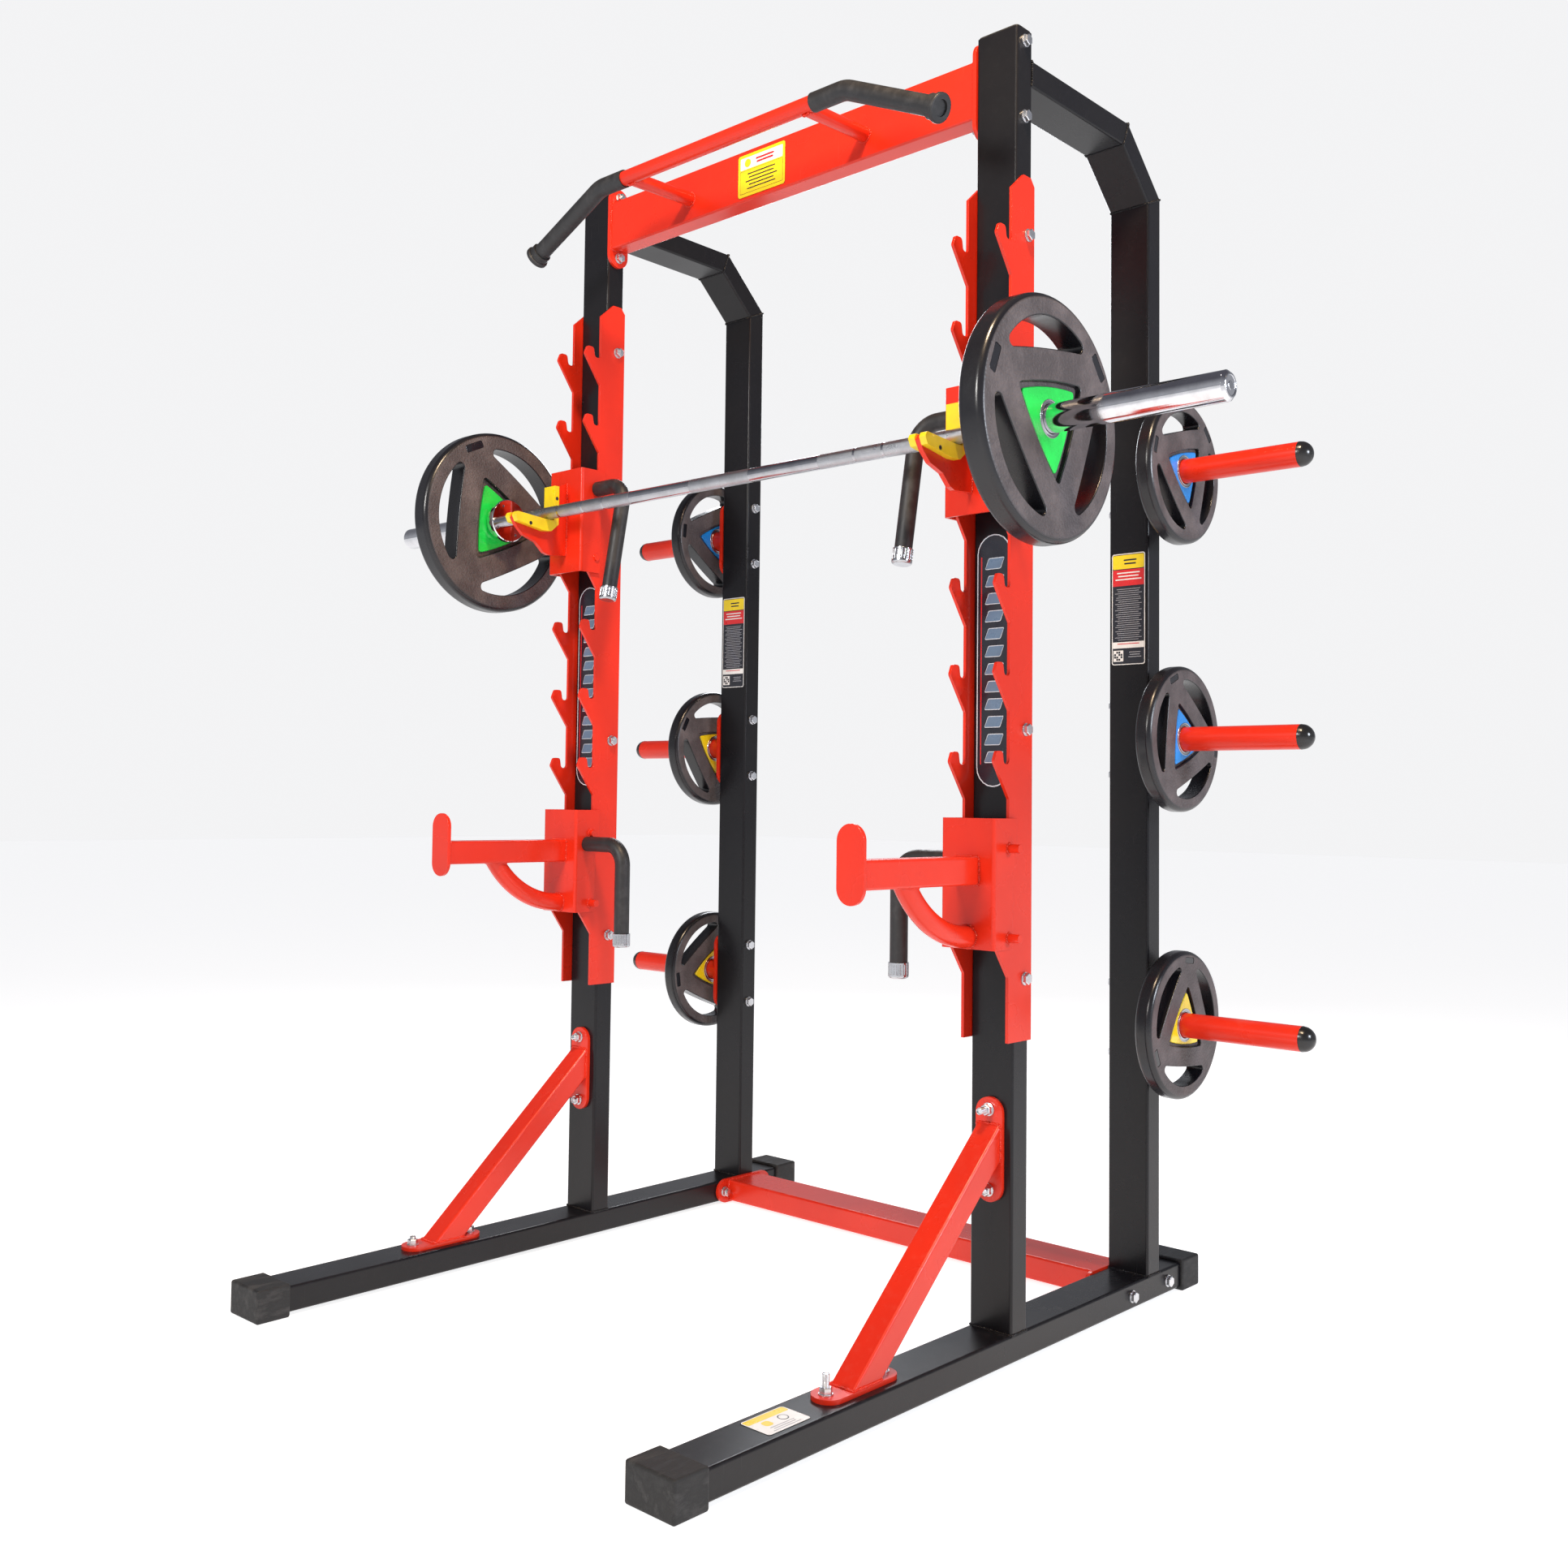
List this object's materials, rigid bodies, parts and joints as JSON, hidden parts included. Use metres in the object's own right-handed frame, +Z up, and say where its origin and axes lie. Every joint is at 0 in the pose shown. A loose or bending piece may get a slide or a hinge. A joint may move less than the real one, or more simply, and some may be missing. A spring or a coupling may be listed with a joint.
{
  "type": "half rack with barbell",
  "caption": "Free-standing half rack with notched uprights, bar hooks, safety arms, a pull-up bar, weight storage pegs and a loaded barbell.",
  "frame": {"origin": "middle of the footprint on the floor", "axes": "+X to the right as seen from the front, -Y towards the lifter in front, +Z up"},
  "size_m": [2.2, 1.536, 2.451],
  "materials": {
    "black_paint": "satin powder coat",
    "red_paint": "gloss powder coat",
    "rubber": "moulded, worn matt",
    "grip_rubber": "foam rubber sleeve, satin",
    "plate_rubber": "pebbled rubber",
    "yellow_plastic": "satin nylon",
    "black_plastic": "gloss moulding",
    "chrome": "hard chrome",
    "zinc_steel": "bright zinc",
    "insert_green": "gloss paint",
    "insert_blue": "gloss paint",
    "insert_yellow": "gloss paint",
    "label_black": "vinyl film"
  },
  "bodies": {
    "rack": {"base_rails": "black_paint", "front_uprights": "black_paint", "rear_uprights": "black_paint", "top_arms": "black_paint", "corner_slopes": "black_paint", "rubber_feet": "rubber", "top_beam": "red_paint", "rear_crossmember": "red_paint", "pull_up_bar": "red_paint", "front_braces": "red_paint", "storage_pegs": "red_paint", "pull_up_grips": "grip_rubber", "pull_up_end_caps": "grip_rubber", "peg_end_balls": "black_plastic", "upright_strips": "label_black", "info_panels": "label_black", "hex_bolts": "zinc_steel", "hex_nuts": "zinc_steel", "notched_plate_left_inner": "red_paint", "notched_plate_left_outer": "red_paint", "notched_plate_right_inner": "red_paint", "notched_plate_right_outer": "red_paint"},
    "bar_hook_left": {"bar_hook_bracket_left": "red_paint", "bar_hook_plate_left": "red_paint", "bar_hook_liner_left": "yellow_plastic", "bar_hook_grip_left": "grip_rubber", "bar_hook_knob_left": "chrome"},
    "safety_left": {"safety_bracket_left": "red_paint", "safety_arm_left": "red_paint", "safety_grip_left": "grip_rubber", "safety_knob_left": "chrome"},
    "bar_hook_right": {"bar_hook_bracket_right": "red_paint", "bar_hook_plate_right": "red_paint", "bar_hook_liner_right": "yellow_plastic", "bar_hook_grip_right": "grip_rubber", "bar_hook_knob_right": "chrome"},
    "safety_right": {"safety_bracket_right": "red_paint", "safety_arm_right": "red_paint", "safety_grip_right": "grip_rubber", "safety_knob_right": "chrome"},
    "barbell": {"bar_shaft": "chrome"},
    "sleeve_left": {"bar_sleeve_left": "chrome"},
    "bar_weight_left": {"bar_plate_left": "plate_rubber", "bar_insert_left": "insert_green"},
    "store_weight_left_top": {"store_plate_left_top": "plate_rubber", "store_insert_left_top": "insert_blue"},
    "store_weight_left_middle": {"store_plate_left_middle": "plate_rubber", "store_insert_left_middle": "insert_yellow"},
    "store_weight_left_bottom": {"store_plate_left_bottom": "plate_rubber", "store_insert_left_bottom": "insert_yellow"},
    "sleeve_right": {"bar_sleeve_right": "chrome"},
    "bar_weight_right": {"bar_plate_right": "plate_rubber", "bar_insert_right": "insert_green"},
    "store_weight_right_top": {"store_plate_right_top": "plate_rubber", "store_insert_right_top": "insert_blue"},
    "store_weight_right_middle": {"store_plate_right_middle": "plate_rubber", "store_insert_right_middle": "insert_blue"},
    "store_weight_right_bottom": {"store_plate_right_bottom": "plate_rubber", "store_insert_right_bottom": "insert_yellow"}
  },
  "joints": [
    {"name": "bar_hook_lift_right", "type": "slide", "parent": "rack", "child": "bar_hook_right", "axis": [0, 0, 1], "range_m": [0, 0.03]},
    {"name": "bar_hook_lift_left", "type": "slide", "parent": "rack", "child": "bar_hook_left", "axis": [0, 0, 1], "range_m": [0, 0.03]},
    {"name": "barbell_lift", "type": "slide", "parent": "bar_hook_right", "child": "barbell", "axis": [0, 0, 1], "range_m": [0, 0.12]},
    {"name": "sleeve_spin_left", "type": "hinge", "parent": "barbell", "child": "sleeve_left", "pos_m": [-0.9, -0.07, 1.657], "axis": [1, 0, 0], "continuous": true},
    {"name": "sleeve_spin_right", "type": "hinge", "parent": "barbell", "child": "sleeve_right", "pos_m": [0.9, -0.07, 1.657], "axis": [1, 0, 0], "continuous": true},
    {"name": "bar_weight_slide_left", "type": "slide", "parent": "sleeve_left", "child": "bar_weight_left", "axis": [-1, 0, 0], "range_m": [0, 0.31]},
    {"name": "bar_weight_slide_right", "type": "slide", "parent": "sleeve_right", "child": "bar_weight_right", "axis": [1, 0, 0], "range_m": [0, 0.31]},
    {"name": "safety_lift_left", "type": "slide", "parent": "rack", "child": "safety_left", "axis": [0, 0, 1], "range_m": [0, 0.03]},
    {"name": "safety_lift_right", "type": "slide", "parent": "rack", "child": "safety_right", "axis": [0, 0, 1], "range_m": [0, 0.03]},
    {"name": "store_weight_slide_left_top", "type": "slide", "parent": "rack", "child": "store_weight_left_top", "axis": [-1, 0, 0], "range_m": [0, 0.235]},
    {"name": "store_weight_slide_left_middle", "type": "slide", "parent": "rack", "child": "store_weight_left_middle", "axis": [-1, 0, 0], "range_m": [0, 0.235]},
    {"name": "store_weight_slide_left_bottom", "type": "slide", "parent": "rack", "child": "store_weight_left_bottom", "axis": [-1, 0, 0], "range_m": [0, 0.235]},
    {"name": "store_weight_slide_right_top", "type": "slide", "parent": "rack", "child": "store_weight_right_top", "axis": [1, 0, 0], "range_m": [0, 0.235]},
    {"name": "store_weight_slide_right_middle", "type": "slide", "parent": "rack", "child": "store_weight_right_middle", "axis": [1, 0, 0], "range_m": [0, 0.235]},
    {"name": "store_weight_slide_right_bottom", "type": "slide", "parent": "rack", "child": "store_weight_right_bottom", "axis": [1, 0, 0], "range_m": [0, 0.235]}
  ],
  "couplings": [
    {"joint": "bar_hook_lift_left", "follows": "bar_hook_lift_right", "ratio": 1}
  ]
}
